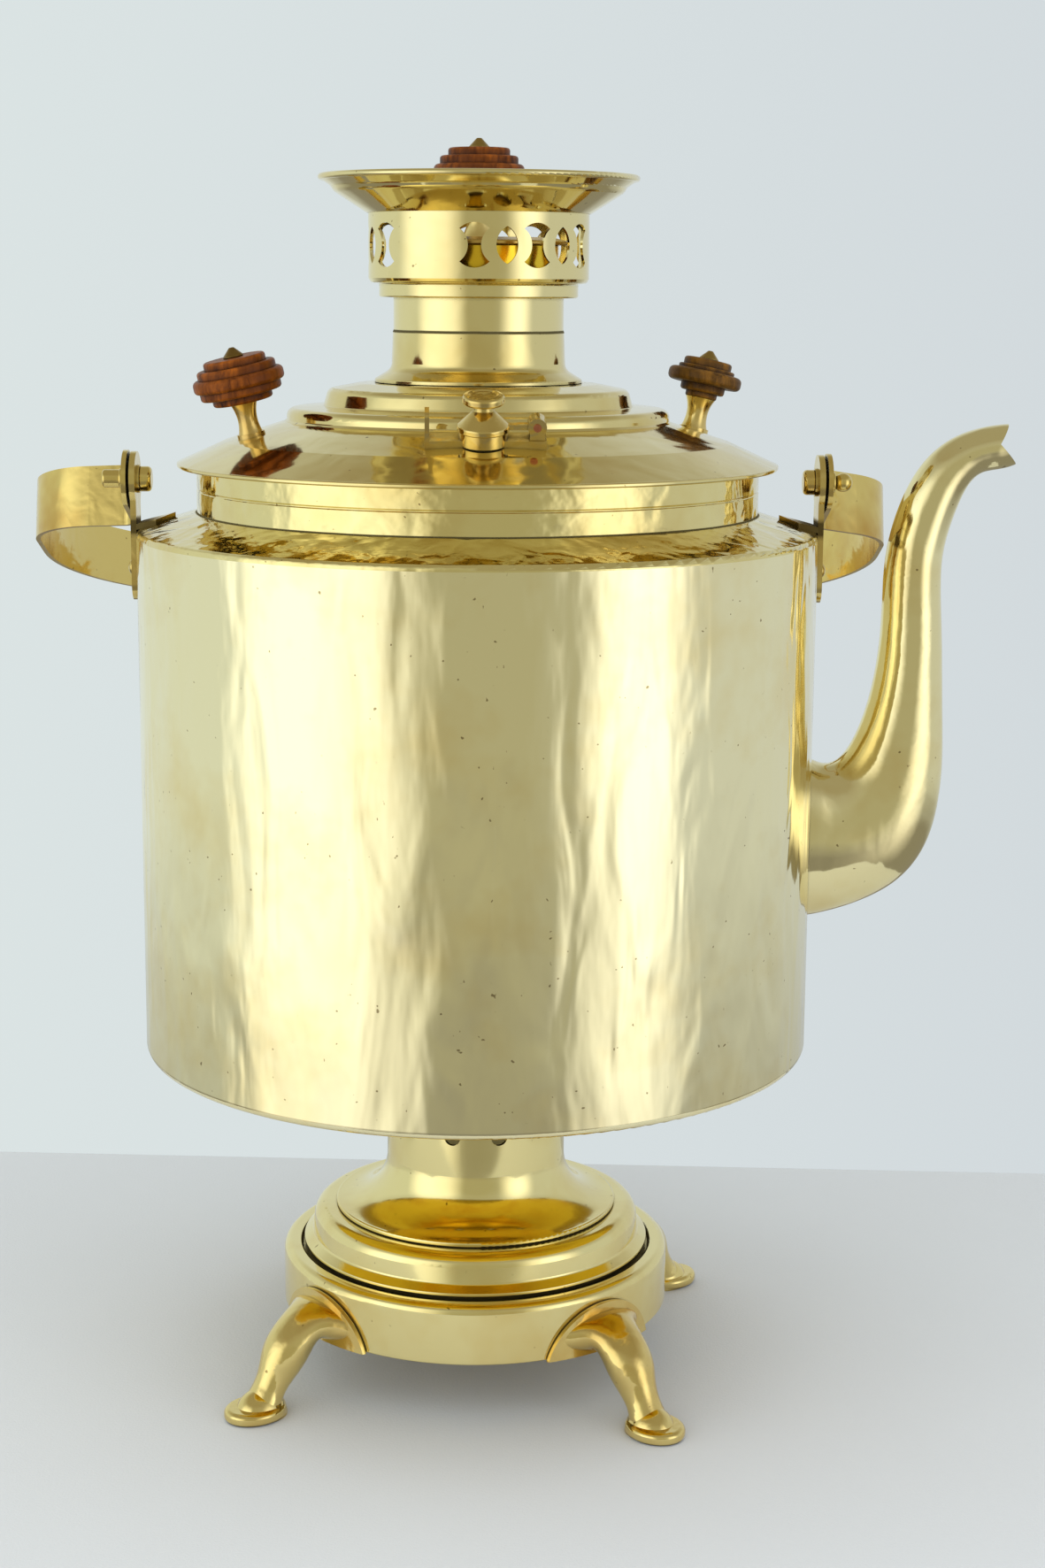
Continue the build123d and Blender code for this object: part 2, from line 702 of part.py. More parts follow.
vent_place = on_lid(vent_azimuth - 90, vent_radius) * Rot(0, vent_tilt, 0) * Rot(0, 0, 90)


def make_lid():
    """Stepped lid spun from sheet, with a rolled rim."""
    lid = spun(*lid_line(), shift=(-0.7 * lid_sheet, -lid_sheet))
    inner = lid_radius - rim_roll
    lid += turned(
        (inner, rim_z + 0.5, 0), (lid_radius, rim_z, 0.7),
        (lid_radius, rim_z + lid_edge + 0.2, 0.7), (inner, rim_z + lid_edge + 0.6, 0),
    )
    for angle in (knob_azimuth, knob_azimuth + 180):
        lid -= knob_place(angle) * rod(knob_rod_radius, -12, 6)
    return lid - vent_place * rod(vent_bore_radius, -12, 6)


def make_lid_skirt():
    """Ring under the lid that rests on the neck and centres the lid in it."""
    outer = neck_radius - body_sheet - skirt_gap
    inner = outer - lid_sheet
    seat = neck_radius - 0.5
    return turned(
        (inner, neck_top - skirt_depth, 0), (outer, neck_top - skirt_depth, 0),
        (outer, neck_top, 0), (seat, neck_top, 0), (seat, neck_top + skirt_lip, 0),
        (outer, neck_top + skirt_lip, 0), (outer, lid_under(outer), 0), (inner, lid_under(inner), 0),
    )


def make_lid_collar():
    """Collar on the lid that carries the crown."""
    inner = lid_collar_radius - crown_sheet
    return turned(
        (inner, shelf_z, 0),
        (collar_foot_radius, shelf_z, 0),
        (collar_foot_radius, shelf_z + 1.2, 0.6),
        (lid_collar_radius + 0.6, collar_foot_top, 4.0),
        (lid_collar_radius, seam_z, 0),
        (inner, seam_z, 0),
    )


# ---- Knobs ----
def turned_head(tiers):
    """Wooden knob head, a stack of rounded (radius, height) tiers from the bottom up."""
    bore = knob_rod_radius
    radii = [bore, *(radius for radius, _ in tiers), bore]
    corners, z = [(bore, 0, 0)], 0
    for i, (radius, height) in enumerate(tiers, 1):
        below, above = (
            min(0.38 * height, 0.9 * (radius - neighbour)) if radius > neighbour else 0
            for neighbour in (radii[i - 1], radii[i + 1])
        )
        corners += [(radius, z, below), (radius, z + height, above)]
        z += height
    return turned(*corners, (bore, z, 0))


def head_height(tiers):
    return sum(height for _, height in tiers)


def make_stem(size):
    """Waisted brass stem between the lid and a knob's head."""
    bore, foot, waist = knob_rod_radius, size * knob_stem_foot, size * knob_stem_waist
    low, top = -3.0, knob_stem_height
    side = ThreePointArc((foot - 0.7, 1.4), (waist, 0.55 * top), (foot, top))
    rest = Polyline(side @ 1, (bore, top), (bore, low), (foot, low), (foot, 1.4), side @ 0)
    return revolve(Plane.XZ * make_face([side, *rest.edges()]), Axis.Z)


def make_knob_rod(low, top):
    """Rod through a knob, riveted over in a small cone on top."""
    cone = turned((0, top, 0), (finial_radius, top, 0.4), (0.9, top + finial_height, 0.5),
                  (0, top + finial_height, 0))
    return rod(knob_rod_radius, low, top) + cone


# ---- Steam vent, in its own frame: +Z out of the lid, +X towards the hinge ----
cheek_y = vent_knuckle_width / 2 + side_play


def across(piece, x, z):
    """A piece turned about +Z laid along Y through the given point."""
    return Pos(x, 0, z) * Rot(-90, 0, 0) * piece


def make_vent_seat():
    """Strip on the lid with the vent's seat, an upright tab and the hinge's cheeks."""
    half = vent_strip_width / 2
    end = vent_hinge_reach + vent_knuckle_radius
    seat = Pos((end - vent_tab_reach) / 2, 0, vent_strip_thick / 2 - 1.5) * Box(
        end + vent_tab_reach, vent_strip_width, vent_strip_thick + 3
    )
    tab = Pos(-vent_tab_reach + 0.8, 0, vent_tab_height / 2) * Box(1.6, vent_strip_width, vent_tab_height)
    seat += fillet(tab.edges().filter_by(Axis.X).group_by(Axis.Z)[-1], 0.4 * half)
    seat += rod(vent_seat_radius, 0, vent_seat_height)
    for side in (-1, 1):
        cheek = across(rod(vent_knuckle_radius, -vent_cheek_thick / 2, vent_cheek_thick / 2),
                       vent_hinge_reach, vent_hinge_rise)
        cheek += Pos(vent_hinge_reach, 0, vent_hinge_rise / 2) * Box(
            1.6 * vent_knuckle_radius, vent_cheek_thick, vent_hinge_rise
        )
        seat += Pos(0, side * (cheek_y + vent_cheek_thick / 2), 0) * cheek
    seat -= across(rod(vent_pin_radius, -half - 3, half + 3), vent_hinge_reach, vent_hinge_rise)
    seat -= rod(vent_bore_radius, -10, 20)
    return vent_place * seat - lid_block()


def make_vent_cap():
    """Conical cap with a button, hinged by an arm and a knuckle."""
    z = vent_seat_height
    neck = z + vent_cap_height
    knob = neck + 1.6
    top = knob + vent_knob_height
    plug_radius = vent_bore_radius - lift_gap
    cap = turned(
        (0, z - vent_plug, 0), (plug_radius, z - vent_plug, 0.6), (plug_radius, z, 0),
        (vent_cap_radius, z, 0.5), (vent_cap_radius, z + 2.0, 0.9),
        (vent_cap_neck + 0.4, neck, 1.2), (vent_cap_neck, knob, 0.6),
        (vent_knob_radius, knob + 0.8, 0.9), (vent_knob_radius, top - 0.6, 1.2),
        (vent_knob_radius - 2.0, top, 0.4), (vent_knob_radius - 3.0, top - 0.5, 0.4), (0, top - 0.2, 0),
    )
    arm_length = vent_hinge_reach - vent_cap_radius + 2.0
    cap += Pos(vent_hinge_reach - arm_length / 2, 0, vent_hinge_rise - 0.5) * Box(
        arm_length, vent_knuckle_width, vent_arm_thick
    )
    cap += across(rod(vent_knuckle_radius, -vent_knuckle_width / 2, vent_knuckle_width / 2),
                  vent_hinge_reach, vent_hinge_rise)
    cap -= across(rod(vent_pin_radius + turn_gap, -9, 9), vent_hinge_reach, vent_hinge_rise)
    return vent_place * cap


def make_vent_pin():
    """Copper hinge pin, proud of the cheeks at both ends."""
    reach = cheek_y + vent_cheek_thick + 0.5
    return vent_place * across(rod(vent_pin_radius, -reach, reach), vent_hinge_reach, vent_hinge_rise)


# ---- Crown ----
def make_crown_ring():
    """Stepped ring between the sleeve and the gallery."""
    inner = sleeve_radius - crown_sheet
    top = ring_z + ring_height
    return turned(
        (inner, ring_z, 0), (ring_radius, ring_z, 0.8), (ring_radius, top, 0.5),
        (gallery_radius - 0.8, top + 0.5, 1.2), (gallery_radius, gallery_z, 0),
        (gallery_radius - crown_sheet, gallery_z, 0),
        (gallery_radius - crown_sheet, top + crown_sheet + 0.3, 0.3),
        (ring_radius - crown_sheet, top + crown_sheet, 0),
        (ring_radius - crown_sheet, ring_z + crown_sheet, 0.3), (inner, ring_z + crown_sheet, 0),
    )


def hourglass():
    """Piercing with bowed ends and drawn-in sides."""
    w, h, c, waist = hourglass_width / 2, hourglass_height / 2, hourglass_corner / 2, hourglass_waist / 2
    return make_face([
        ThreePointArc((-w, c), (0, h), (w, c)), ThreePointArc((w, c), (waist, 0), (w, -c)),
        ThreePointArc((w, -c), (0, -h), (-w, -c)), ThreePointArc((-w, -c), (-waist, 0), (-w, c)),
    ])


def leaf():
    """Pointed oval piercing."""
    w, h = leaf_width / 2, leaf_height / 2
    return make_face([ThreePointArc((0, h), (w, 0), (0, -h)), ThreePointArc((0, -h), (-w, 0), (0, h))])


def make_gallery():
    """Cylinder with groups of five piercings, hourglass and leaf by turns."""
    ring = pipe(gallery_radius, gallery_radius - crown_sheet, gallery_z, saucer_z)
    middle = gallery_z + gallery_height / 2
    for group in range(pierced_groups):
        for place in range(-2, 3):
            shape = leaf() if place % 2 else hourglass()
            cut = extrude(Plane.XZ * shape, 2 * gallery_radius)
            azimuth = pierced_centre + place * pierced_pitch + group * 360 / pierced_groups
            ring -= facing(azimuth) * Pos(0, -gallery_radius / 2, middle) * cut
    return ring


def make_saucer():
    """Shallow bowl with a flared, beaded rim, where a teapot stands."""
    rim = saucer_z + saucer_height
    bowl = spun(
        (gallery_radius - crown_sheet, saucer_z, 0),
        (gallery_radius + 0.6, saucer_z, 0.5),
        (saucer_bowl_radius, saucer_z + saucer_bowl_rise, 4.0),
        (saucer_bowl_radius + 1.2, rim - 3.2, 2.0),
        (saucer_radius - 0.4 * saucer_bead, rim - 0.3 * saucer_bead, 0),
        shift=(-0.5 * crown_sheet, crown_sheet),
    )
    bead = Pos(0, 0, rim) * Torus(saucer_radius - saucer_bead, saucer_bead)
    return bowl + bead


# ---- Chimney cap ----
def make_chimney_cap():
    """Disc that closes the fire tube, with a skirt inside the tube."""
    top = tube_top + cap_sheet
    skirt = fire_tube_radius - fire_tube_sheet - lift_gap
    disc = turned(
        (0, tube_top, 0), (cap_radius, tube_top, 0.4), (cap_radius, top, 0.6),
        (skirt, top + cap_boss, 2.0), (0, top + cap_boss, 0),
    )
    return disc + pipe(skirt, skirt - crown_sheet, tube_top - cap_skirt, tube_top)


cap_stem_foot = tube_top + cap_sheet + cap_boss
cap_head_foot = tube_top + cap_sheet + cap_stem_height


def make_cap_stem():
    """Waisted post between the cap's disc and its head."""
    bore, height = knob_rod_radius, cap_head_foot - cap_stem_foot
    side = ThreePointArc(
        (cap_stem_radius + 1.5, cap_stem_foot), (cap_stem_radius - 1.0, cap_stem_foot + 0.5 * height),
        (cap_stem_radius, cap_head_foot),
    )
    rest = Polyline(side @ 1, (bore, cap_head_foot), (bore, cap_stem_foot), side @ 0)
    return revolve(Plane.XZ * make_face([side, *rest.edges()]), Axis.Z)


# ---- The pieces, each in its own node ----
turn_back = Rot(0, 0, 180)

save(make_plinth(), "plinth")
save(make_moulding(), "base_moulding")
save(make_flare(), "base_flare")
save(make_air_collar(), "air_collar")
save(make_grate(), "grate")
foot = Rot(0, 0, foot_azimuth - 90) * make_foot()
for turn, place in enumerate(("front_right", "back_right", "back_left", "front_left")):
    save(Rot(0, 0, 90 * turn) * foot, f"foot_{place}")

save(pierce_wall(make_body_wall()), "body_wall")
save(make_body_bottom(), "body_bottom")
save(make_shoulder(), "shoulder")
save(make_neck_band(), "neck_band")
save(make_fire_tube(), "fire_tube")
save(make_spout(), "spout")

bracket = make_bracket()
save(bracket, "bracket_right")
save(mirror(bracket, Plane.YZ), "bracket_left")
washer = along_x(pipe(washer_radius, bolt_radius, washer_x, plate_x), 0, 0, pivot_z)
spacer = along_x(pipe(spacer_radius, bolt_radius, spacer_x, spacer_x + spacer_thick), 0, 0, pivot_z)
rivet, nut = make_rivet(), make_nut()
for node, right, left in (
    ("bracket_rivets", rivet, rivet),
    ("pivot_bolts", make_pivot_bolt(bolt_ball()), make_pivot_bolt(bolt_button())),
    ("pivot_nuts", nut, nut),
    ("pivot_washers", washer, washer),
    ("pivot_spacers", spacer, spacer),
):
    save(Compound([right, turn_back * left]), node)
save(make_handle(), "swing_handle")

save(make_lid(), "lid")
save(make_lid_skirt(), "lid_skirt")
save(make_lid_collar(), "lid_collar")
for side, angle, size, tiers in (
    ("right", knob_azimuth, small_knob_stem, small_head),
    ("left", knob_azimuth + 180, 1.0, large_head),
):
    place = knob_place(angle)
    top = knob_stem_height + head_height(tiers)
    save(place * make_stem(size) - lid_block(), f"knob_stem_{side}")
    save(place * Pos(0, 0, knob_stem_height) * turned_head(tiers), f"knob_head_{side}")
    save(place * make_knob_rod(-knob_rod_depth, top), f"knob_rod_{side}")
save(make_vent_seat(), "vent_seat")
save(make_vent_cap(), "vent_cap")
save(make_vent_pin(), "vent_pin")

save(pipe(sleeve_radius, sleeve_radius - crown_sheet, seam_z, ring_z), "crown_sleeve")
save(make_crown_ring(), "crown_ring")
save(make_gallery(), "crown_gallery")
save(make_saucer(), "crown_saucer")

cap_top = cap_head_foot + head_height(large_head)
save(make_chimney_cap(), "chimney_cap")
save(make_cap_stem(), "cap_stem")
save(Pos(0, 0, cap_head_foot) * turned_head(large_head), "cap_head")
save(make_knob_rod(cap_stem_foot, cap_top), "cap_rod")
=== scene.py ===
import bpy
from math import cos, pi, radians, sin
from mathutils import Matrix, Vector

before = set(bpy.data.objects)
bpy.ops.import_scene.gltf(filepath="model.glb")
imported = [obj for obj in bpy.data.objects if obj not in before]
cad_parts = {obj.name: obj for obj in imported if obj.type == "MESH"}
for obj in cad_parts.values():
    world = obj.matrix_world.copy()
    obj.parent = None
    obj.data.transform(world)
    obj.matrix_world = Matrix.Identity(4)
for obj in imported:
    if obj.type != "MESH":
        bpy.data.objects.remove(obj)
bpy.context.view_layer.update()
bpy.ops.object.select_all(action="DESELECT")


# ---- Studio: camera ----
# The camera stands about a metre in front of the steam vent, a little above the body's
# middle, looks down at the kettle and is held slightly out of level.
camera_distance, camera_height = 0.9976, 0.4280
camera_pitch, camera_yaw, camera_roll = radians(11.03), radians(1.023), radians(0.394)
camera_lens = 59.58  # mm
bpy.ops.object.camera_add()
camera = bpy.context.object
camera.name = "camera"
camera.matrix_world = (
    Matrix.Translation((0, -camera_distance, camera_height))
    @ Matrix.Rotation(-camera_yaw, 4, "Z")
    @ Matrix.Rotation(pi / 2 - camera_pitch, 4, "X")
    @ Matrix.Rotation(camera_roll, 4, "Z")
)
camera.data.lens = camera_lens
camera.data.clip_start = 0.05
bpy.context.scene.camera = camera
bpy.context.scene.view_settings.view_transform = "Standard"


# ---- Studio: table ----
# A table top covered in pale grey linen, whose back edge runs just behind the kettle. It is
# the floor that catches the shadow.
def srgb(code):
    """A hex colour as the linear colour that Blender's sockets take."""
    parts = [int(code[i:i + 2], 16) / 255 for i in (0, 2, 4)]
    return (*(p / 12.92 if p <= 0.04045 else ((p + 0.055) / 1.055) ** 2.4 for p in parts), 1.0)


def add(material, kind, inputs=(), **settings):
    """Adds a node to a material, world or lamp with its settings, and sets or links its inputs by
    name or number. A colour Mix has its colours at inputs 6 and 7, and its result at output 2."""
    node = material.node_tree.nodes.new("ShaderNode" + kind)
    for field, value in settings.items():
        setattr(node, field, value)
    for socket, value in dict(inputs).items():
        if isinstance(value, bpy.types.NodeSocket):
            material.node_tree.links.new(value, node.inputs[socket])
        else:
            node.inputs[socket].default_value = value
    return node


def new_material(name):
    """A material with only its output, and the object coordinates to pattern it by."""
    material = bpy.data.materials.new(name)
    material.use_nodes = True
    material.node_tree.nodes.clear()
    add(material, "OutputMaterial")
    return material, add(material, "TexCoord").outputs["Object"]


def finish_with(material, shader):
    """Sends a shader to the material's output."""
    output = material.node_tree.nodes["Material Output"]
    material.node_tree.links.new(shader.outputs[0], output.inputs["Surface"])
    return material


def pale_linen(light, dark):
    """Plain-woven linen, matt and faintly clouded. Its threads are drawn 1.1 mm wide, about twice
    their size, so that they show, and its clouds are 250 mm wide."""
    material, place = new_material("pale_linen")
    thread, cloud = 0.0011, 0.25
    weave = add(material, "TexNoise", {"Vector": place, "Scale": 1 / thread, "Detail": 2.0, "Roughness": 0.6})
    clouds = add(material, "TexNoise", {"Vector": place, "Scale": 1 / cloud, "Detail": 3.0})
    tone = add(material, "Mix", {0: clouds.outputs[0], 6: srgb(light), 7: srgb(dark)}, data_type="RGBA")
    bump = add(material, "Bump", {"Height": weave.outputs[0], "Strength": 0.35, "Distance": 0.0004})
    shader = add(material, "BsdfPrincipled", {
        "Base Color": tone.outputs[2], "Roughness": 0.85, "Normal": bump.outputs[0],
        "Specular IOR Level": 0.2,
    })
    return finish_with(material, shader)


table_width, table_depth, table_thick, table_rounding = 0.66, 0.48, 0.03, 0.004
table_middle, table_edge, table_turn = 0.015, 0.2255, radians(-3.47)
bpy.ops.mesh.primitive_cube_add(size=1)
table = bpy.context.object
table.name = "table_top"
table.dimensions = (table_width, table_depth, table_thick)
table.rotation_euler.z = table_turn
table.location = (table_middle, table_edge - table_depth / 2, -table_thick / 2)
bpy.ops.object.transform_apply(location=True, rotation=True, scale=True)
bpy.ops.object.modifier_add(type="BEVEL")
table.modifiers[-1].width, table.modifiers[-1].segments = table_rounding, 4
bpy.ops.object.modifier_apply(modifier=table.modifiers[-1].name)
bpy.ops.object.shade_smooth_by_angle(angle=radians(30))
table.data.materials.append(pale_linen(light="D1D1D2", dark="C9C8C9"))


# ---- Studio: wall and lamps ----
# The pale wall is the world's own colour. Polished metal mirrors it too, and a room that is
# dimmer in front, overhead and below. Two tall softboxes stand at the sides. One overhead and a
# low one in front light the table, out of sight of the metal.
world = bpy.data.worlds.new("pale_wall")
bpy.context.scene.world = world
world.use_nodes = True
world.node_tree.nodes.clear()
sky_place = add(world, "TexCoord").outputs["Generated"]
sky_split = add(world, "SeparateXYZ", {0: sky_place})
sky_side = add(world, "MapRange", {"Value": sky_split.outputs["X"], "From Min": -0.3, "From Max": 0.3})
sky = add(world, "Mix", {0: sky_side.outputs[0], 6: srgb("DDE6E5"), 7: srgb("D1D8DC")}, data_type="RGBA")
front = add(world, "MapRange", {"Value": sky_split.outputs["Y"], "From Min": -0.95, "From Max": -0.55})
depth_of_room = add(world, "Mix", {0: front.outputs[0], 6: srgb("B2B19C"), 7: sky.outputs[2]},
                    data_type="RGBA")
above = add(world, "MapRange", {"Value": sky_split.outputs["Z"], "From Min": 0.40, "From Max": 0.75})
under_ceiling = add(world, "Mix", {0: above.outputs[0], 6: depth_of_room.outputs[2], 7: srgb("A8A490")},
                    data_type="RGBA")
below = add(world, "MapRange", {"Value": sky_split.outputs["Z"], "From Min": -0.42, "From Max": -0.20})
room = add(world, "Mix", {0: below.outputs[0], 6: srgb("8F8E88"), 7: under_ceiling.outputs[2]},
           data_type="RGBA")
seen = add(world, "LightPath")
mirror = add(world, "Math", {0: seen.outputs["Is Glossy Ray"], 1: seen.outputs["Is Transmission Ray"]},
             operation="MAXIMUM")
either = add(world, "Math", {0: seen.outputs["Is Camera Ray"], 1: mirror.outputs[0]}, operation="MAXIMUM")
shown = add(world, "Mix", {0: mirror.outputs[0], 6: sky.outputs[2], 7: room.outputs[2]}, data_type="RGBA")
brightness = add(world, "MapRange", {"Value": either.outputs[0], "To Min": 1.30, "To Max": 1.0})
wall = add(world, "Background", {"Color": shown.outputs[2], "Strength": brightness.outputs[0]})
world.node_tree.links.new(wall.outputs[0], add(world, "OutputWorld").inputs[0])


def softbox(name, azimuth, distance, height, width, tall, radiance, edge=0.3):
    """A rectangular lamp that faces the kettle, at an azimuth from the front towards the spout,
    and dims towards its edges over a share of its width."""
    aim = Vector((0, 0, 0.25))
    place = Vector((distance * sin(radians(azimuth)), -distance * cos(radians(azimuth)), height))
    bpy.ops.object.light_add(type="AREA", location=place)
    lamp = bpy.context.object
    lamp.name = name
    lamp.rotation_mode = "QUATERNION"
    lamp.rotation_quaternion = (place - aim).to_track_quat("Z", "Y")
    lamp.data.shape, lamp.data.size, lamp.data.size_y = "RECTANGLE", width, tall
    lamp.data.energy = radiance * pi * width * tall
    lamp.data.use_nodes = True
    across = add(lamp.data, "SeparateXYZ", {0: add(lamp.data, "NewGeometry").outputs["Parametric"]})
    inset = [add(lamp.data, "Math", {0: across.outputs[axis], 1: 0.5}, operation="PINGPONG")
             for axis in (0, 1)]
    fade = [add(lamp.data, "MapRange", {"Value": node.outputs[0], "From Max": edge},
                interpolation_type="SMOOTHSTEP") for node in inset]
    glow = add(lamp.data, "Math", {0: fade[0].outputs[0], 1: fade[1].outputs[0]}, operation="MULTIPLY")
    lamp.data.node_tree.links.new(glow.outputs[0], lamp.data.node_tree.nodes["Emission"].inputs["Strength"])
    return lamp


softbox("softbox_left", azimuth=-52, distance=1.7, height=0.2, width=2.9, tall=3.1, radiance=0.72, edge=0.36)
softbox("softbox_right", azimuth=52, distance=1.7, height=0.2, width=1.75, tall=3.1, radiance=0.95, edge=0.48)
overhead = softbox("softbox_overhead", azimuth=0, distance=0.3, height=1.9, width=1.8, tall=1.4, radiance=1.6)
fill = softbox("softbox_fill", azimuth=0, distance=1.8, height=0.5, width=2.0, tall=0.8, radiance=4.0)
for hidden in (overhead, fill):
    hidden.visible_glossy = False


# ---- Base: plinth, moulding, flare and air collar ----
# Rings turned from cast brass and stacked on each other. They are polished bright, and the
# grooves between them are darkened with painted shade that also stands for tarnish where no cloth reaches.
def polished_brass(name, pale, warm, wave, depth, stain, tarnish_and_shade_reach, gloss, ripple=0.0, stretch=(1, 1, 1),
                   seams=()):
    """Hand-polished brass: soft waves from the hammer, warm patches, fine wipe marks, dark dirt at
    seams, and creases darkened with painted shade that also stands for tarnish. Waves, their depth,
    ripples and the reach of that painted shade are in metres, and a seam is its height and half its width."""
    material, place = new_material(name)
    # Patterns to the metre: wipe marks 0.45 mm wide, drawn coarser than real so that they show,
    # pits 2.4 mm apart, and patches 60 mm wide.
    wipes_per_metre, pits_per_metre, patches_per_metre = 2200.0, 420.0, 16.0
    spread = add(material, "Mapping", {"Vector": place, "Scale": stretch})
    waves = add(material, "TexNoise", {"Vector": spread.outputs[0], "Scale": 1 / wave, "Detail": 1.5,
                                       "Roughness": 0.45, "Distortion": 0.6})
    small = add(material, "TexNoise", {"Vector": spread.outputs[0], "Scale": 4 / wave, "Detail": 1.0})
    wipes = add(material, "Mapping", {"Vector": place, "Scale": (1, 1, 0.12)})
    marks = add(material, "TexNoise", {"Vector": wipes.outputs[0], "Scale": wipes_per_metre, "Detail": 2.0})
    hammered = add(material, "Bump", {"Height": waves.outputs[0], "Strength": 1.0, "Distance": depth})
    rippled = add(material, "Bump", {"Height": small.outputs[0], "Strength": 1.0, "Distance": ripple,
                                     "Normal": hammered.outputs[0]})
    wiped = add(material, "Bump", {"Height": marks.outputs[0], "Strength": 0.03, "Distance": 0.00003,
                                   "Normal": rippled.outputs[0]})
    patches = add(material, "TexNoise", {"Vector": place, "Scale": patches_per_metre, "Detail": 4.0,
                                         "Roughness": 0.65})
    patch = add(material, "MapRange", {"Value": patches.outputs[0], "From Min": 0.48, "From Max": 0.72,
                                       "To Max": stain})
    tint = add(material, "Mix", {0: patch.outputs[0], 6: srgb(pale), 7: srgb(warm)}, data_type="RGBA")
    pits = add(material, "TexNoise", {"Vector": place, "Scale": pits_per_metre, "Detail": 1.0})
    pit = add(material, "MapRange", {"Value": pits.outputs[0], "From Min": 0.76, "From Max": 0.80,
                                     "To Max": 0.7})
    pitted = add(material, "Mix", {0: pit.outputs[0], 6: tint.outputs[2], 7: srgb("6E5426")},
                 data_type="RGBA")
    # Painted shade: ambient occlusion darkens creases and the gaps between parts towards near black and
    # roughens them. It stands for tarnish there as well as shade.
    crease_occlusion = add(material, "AmbientOcclusion", {"Distance": tarnish_and_shade_reach}, samples=6)
    shade_and_grime = add(material, "MapRange", {"Value": crease_occlusion.outputs["AO"], "From Min": 0.62, "From Max": 0.22,
                                       "To Max": 0.92})
    for height, half_width in seams:
        level = add(material, "SeparateXYZ", {0: place}).outputs["Z"]
        wander = add(material, "MapRange", {"Value": patches.outputs[0], "To Min": height - half_width / 2,
                                            "To Max": height + half_width / 2})
        above = add(material, "Math", {0: level, 1: wander.outputs[0]}, operation="SUBTRACT")
        away = add(material, "Math", {0: above.outputs[0]}, operation="ABSOLUTE")
        dark = add(material, "MapRange", {"Value": away.outputs[0], "From Min": half_width,
                                          "From Max": half_width / 2, "To Max": 0.75})
        shade_and_grime = add(material, "Math", {0: shade_and_grime.outputs[0], 1: dark.outputs[0]}, operation="MAXIMUM")
    colour = add(material, "Mix", {0: shade_and_grime.outputs[0], 6: pitted.outputs[2], 7: srgb("2B2417")},
                 data_type="RGBA")
    haze = add(material, "MapRange", {"Value": patches.outputs[0], "From Min": 0.35, "From Max": 0.75,
                                      "To Min": gloss, "To Max": gloss + 0.07})
    rough = add(material, "Math", {0: haze.outputs[0], 1: shade_and_grime.outputs[0]}, operation="MAXIMUM")
    shader = add(material, "BsdfPrincipled", {
        "Base Color": colour.outputs[2], "Metallic": 1.0, "Roughness": rough.outputs[0],
        "Normal": wiped.outputs[0],
    })
    return finish_with(material, shader)


def dress(material, *nodes):
    """Gives CAD nodes their material."""
    for name in nodes:
        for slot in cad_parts[name].material_slots:
            slot.material = material


dress(polished_brass("turned_cast_brass", pale="F0E0A0", warm="D8B255", wave=0.03, depth=0.00025,
                     stain=0.45, tarnish_and_shade_reach=0.004, gloss=0.08),
      "plinth", "base_moulding", "base_flare", "air_collar")


# ---- Grate ----
# A slotted disc of rough cast iron that lies loose in the foot of the fire tube, where the
# charcoal has burnt it dull grey.
def burnt_iron():
    """Cast iron: near black, rough with a grain of 1.1 mm, with grey ash in patches of 8 mm."""
    material, place = new_material("burnt_cast_iron")
    grains_per_metre, ashes_per_metre = 900.0, 120.0
    grain = add(material, "TexNoise", {"Vector": place, "Scale": grains_per_metre, "Detail": 4.0})
    ash = add(material, "TexNoise", {"Vector": place, "Scale": ashes_per_metre, "Detail": 3.0})
    tone = add(material, "Mix", {0: ash.outputs[0], 6: srgb("1F1C1A"), 7: srgb("5B5652")}, data_type="RGBA")
    bump = add(material, "Bump", {"Height": grain.outputs[0], "Strength": 0.6, "Distance": 0.0004})
    shader = add(material, "BsdfPrincipled", {
        "Base Color": tone.outputs[2], "Metallic": 0.6, "Roughness": 0.75, "Normal": bump.outputs[0],
    })
    return finish_with(material, shader)


dress(burnt_iron(), "grate")


# ---- Feet ----
# Four solid brass castings, each fixed to the plinth by its apron. They are filed and buffed by
# hand, so they stay a little uneven and less bright than the turned rings.
dress(polished_brass("filed_cast_brass", pale="E9D28A", warm="CDA048", wave=0.009, depth=0.0004,
                     ripple=0.00005, stain=0.7, tarnish_and_shade_reach=0.002, gloss=0.10),
      "foot_front_right", "foot_back_right", "foot_back_left", "foot_front_left")


# ---- Body wall, bottom and fire tube ----
# Sheet brass bent to a drum and planished with a hammer, so reflections run in long wavy
# streaks down it, with faint yellow stains. The bottom and the fire tube were never polished,
# and heat has turned them a deeper yellow.
dress(polished_brass("planished_brass", pale="F7ECBE", warm="E6C878", wave=0.018, depth=0.0013,
                     stretch=(1, 1, 0.3), ripple=0.00008, stain=0.45, tarnish_and_shade_reach=0.002, gloss=0.05),
      "body_wall")
dress(polished_brass("unpolished_brass", pale="F2CA38", warm="DCA424", wave=0.02, depth=0.0006, stain=0.8,
                     tarnish_and_shade_reach=0.002, gloss=0.16),
      "body_bottom", "fire_tube")


# ---- Shoulder and neck band ----
# Two hand-raised rings of sheet brass, soldered to each other and to the body. Their hammer
# marks were only lightly polished out, so they ripple, and dirt stays along the seam.
dress(polished_brass("hammered_brass", pale="ECDC9C", warm="D4B25C", wave=0.014, depth=0.0011,
                     ripple=0.0001, stain=0.5, tarnish_and_shade_reach=0.003, gloss=0.06, seams=((0.3404, 0.0004),)),
      "shoulder", "neck_band")


